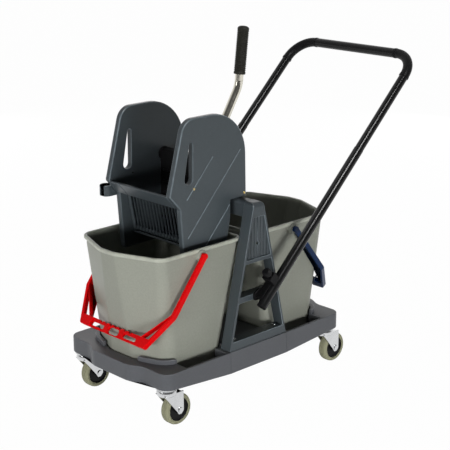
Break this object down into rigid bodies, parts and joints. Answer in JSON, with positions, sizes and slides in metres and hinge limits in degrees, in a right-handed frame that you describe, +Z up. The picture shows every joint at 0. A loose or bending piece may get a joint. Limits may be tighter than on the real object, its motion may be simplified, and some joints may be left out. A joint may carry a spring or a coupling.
{
  "type": "double mop bucket trolley",
  "caption": "Double mop bucket trolley: moulded tray on swivel castors, lift-out buckets with coloured bails, lever press wringer and folding tube push handle.",
  "frame": {"origin": "on the floor, under the middle of the trolley's bounding box", "axes": "+X along the trolley toward the push handle, +Y across it toward the mop clip, +Z up"},
  "size_m": [0.8576, 0.4246, 0.8681],
  "materials": {
    "tray_plastic": "satin moulded polypropylene",
    "frame_plastic": "satin moulded polypropylene",
    "bucket_plastic": "satin moulded polypropylene",
    "red_plastic": "smooth moulded polypropylene",
    "blue_plastic": "smooth moulded polypropylene",
    "black_plastic": "satin moulded nylon",
    "black_tube": "gloss black powder coat on steel tube",
    "chrome_steel": "bright chrome plate",
    "zinc_steel": "bright zinc plate",
    "grey_tyre": "grey non-marking rubber",
    "grip_rubber": "ribbed black rubber",
    "brass_pin": "plain brass"
  },
  "bodies": {
    "base": {"chassis_tray": "tray_plastic", "side_frame_right": "frame_plastic", "side_frame_left": "frame_plastic", "cross_beam": "frame_plastic", "frame_screws": "zinc_steel", "castor_plates": "zinc_steel", "handle_bracket_right": "black_plastic", "handle_bracket_left": "black_plastic"},
    "front_bucket": {"bucket_front": "bucket_plastic"},
    "rear_bucket": {"bucket_rear": "bucket_plastic"},
    "front_bail": {"bail_front": "red_plastic"},
    "rear_bail": {"bail_rear": "blue_plastic"},
    "wringer": {"wringer_cheek_right": "frame_plastic", "wringer_cheek_left": "frame_plastic", "wringer_rail": "frame_plastic", "wringer_grille": "frame_plastic", "wringer_back": "black_plastic", "wringer_drain": "frame_plastic", "wringer_screws": "brass_pin", "shaft_bushes": "black_plastic", "mop_clip": "frame_plastic"},
    "press": {"press_plate": "black_plastic", "press_shaft": "chrome_steel", "lever_socket": "black_plastic", "lever_tube": "chrome_steel", "lever_grip": "grip_rubber"},
    "handle": {"handle_holder_right": "black_plastic", "handle_holder_left": "black_plastic", "handle_leg_right": "black_tube", "handle_leg_left": "black_tube", "handle_upper_right": "black_tube", "handle_upper_left": "black_tube", "handle_bend_right": "black_plastic", "handle_bend_left": "black_plastic", "handle_bar": "black_tube", "handle_caps": "black_plastic"},
    "knob_right": {"handle_knob_right": "black_plastic"},
    "knob_left": {"handle_knob_left": "black_plastic"},
    "castor_fr": {"castor_fork_fr": "zinc_steel", "castor_axle_fr": "zinc_steel"},
    "wheel_fr": {"castor_hub_fr": "black_plastic", "castor_tyre_fr": "grey_tyre"},
    "castor_fl": {"castor_fork_fl": "zinc_steel", "castor_axle_fl": "zinc_steel"},
    "wheel_fl": {"castor_hub_fl": "black_plastic", "castor_tyre_fl": "grey_tyre"},
    "castor_rr": {"castor_fork_rr": "zinc_steel", "castor_axle_rr": "zinc_steel"},
    "wheel_rr": {"castor_hub_rr": "black_plastic", "castor_tyre_rr": "grey_tyre"},
    "castor_rl": {"castor_fork_rl": "zinc_steel", "castor_axle_rl": "zinc_steel"},
    "wheel_rl": {"castor_hub_rl": "black_plastic", "castor_tyre_rl": "grey_tyre"}
  },
  "joints": [
    {"name": "front_bucket_lift", "type": "slide", "parent": "base", "child": "front_bucket", "axis": [0, 0, 1], "range_m": [0, 0.03]},
    {"name": "rear_bucket_lift", "type": "slide", "parent": "base", "child": "rear_bucket", "axis": [0, 0, 1], "range_m": [0, 0.06]},
    {"name": "front_bail_swing", "type": "hinge", "parent": "front_bucket", "child": "front_bail", "pos_m": [-0.26678, 0, 0.381], "axis": [0, 1, 0], "range_deg": [0, 110]},
    {"name": "rear_bail_swing", "type": "hinge", "parent": "rear_bucket", "child": "rear_bail", "pos_m": [0.03322, 0, 0.381], "axis": [0, -1, 0], "range_deg": [0, 105]},
    {"name": "wringer_lift", "type": "slide", "parent": "base", "child": "wringer", "axis": [0, 0, 1], "range_m": [0, 0.08]},
    {"name": "press_swing", "type": "hinge", "parent": "wringer", "child": "press", "pos_m": [-0.16478, 0, 0.561], "axis": [0, 1, 0], "range_deg": [0, 30]},
    {"name": "handle_fold", "type": "hinge", "parent": "base", "child": "handle", "pos_m": [-0.11178, 0, 0.257], "axis": [0, -1, 0], "range_deg": [0, 46]},
    {"name": "knob_right_turn", "type": "hinge", "parent": "handle", "child": "knob_right", "pos_m": [-0.08286, -0.1995, 0.28464], "axis": [0.6909, 0, -0.723], "continuous": true},
    {"name": "knob_left_turn", "type": "hinge", "parent": "handle", "child": "knob_left", "pos_m": [-0.08286, 0.1995, 0.28464], "axis": [0.6909, 0, -0.723], "continuous": true},
    {"name": "castor_fr_swivel", "type": "hinge", "parent": "base", "child": "castor_fr", "pos_m": [-0.38278, -0.1475, 0.085], "axis": [0, 0, 1], "continuous": true},
    {"name": "wheel_fr_roll", "type": "hinge", "parent": "castor_fr", "child": "wheel_fr", "pos_m": [-0.35578, -0.1475, 0.0375], "axis": [0, 1, 0], "continuous": true},
    {"name": "castor_fl_swivel", "type": "hinge", "parent": "base", "child": "castor_fl", "pos_m": [-0.38278, 0.1475, 0.085], "axis": [0, 0, 1], "continuous": true},
    {"name": "wheel_fl_roll", "type": "hinge", "parent": "castor_fl", "child": "wheel_fl", "pos_m": [-0.35578, 0.1475, 0.0375], "axis": [0, 1, 0], "continuous": true},
    {"name": "castor_rr_swivel", "type": "hinge", "parent": "base", "child": "castor_rr", "pos_m": [0.14922, -0.1475, 0.085], "axis": [0, 0, 1], "continuous": true},
    {"name": "wheel_rr_roll", "type": "hinge", "parent": "castor_rr", "child": "wheel_rr", "pos_m": [0.17622, -0.1475, 0.0375], "axis": [0, 1, 0], "continuous": true},
    {"name": "castor_rl_swivel", "type": "hinge", "parent": "base", "child": "castor_rl", "pos_m": [0.14922, 0.1475, 0.085], "axis": [0, 0, 1], "continuous": true},
    {"name": "wheel_rl_roll", "type": "hinge", "parent": "castor_rl", "child": "wheel_rl", "pos_m": [0.17622, 0.1475, 0.0375], "axis": [0, 1, 0], "continuous": true}
  ]
}
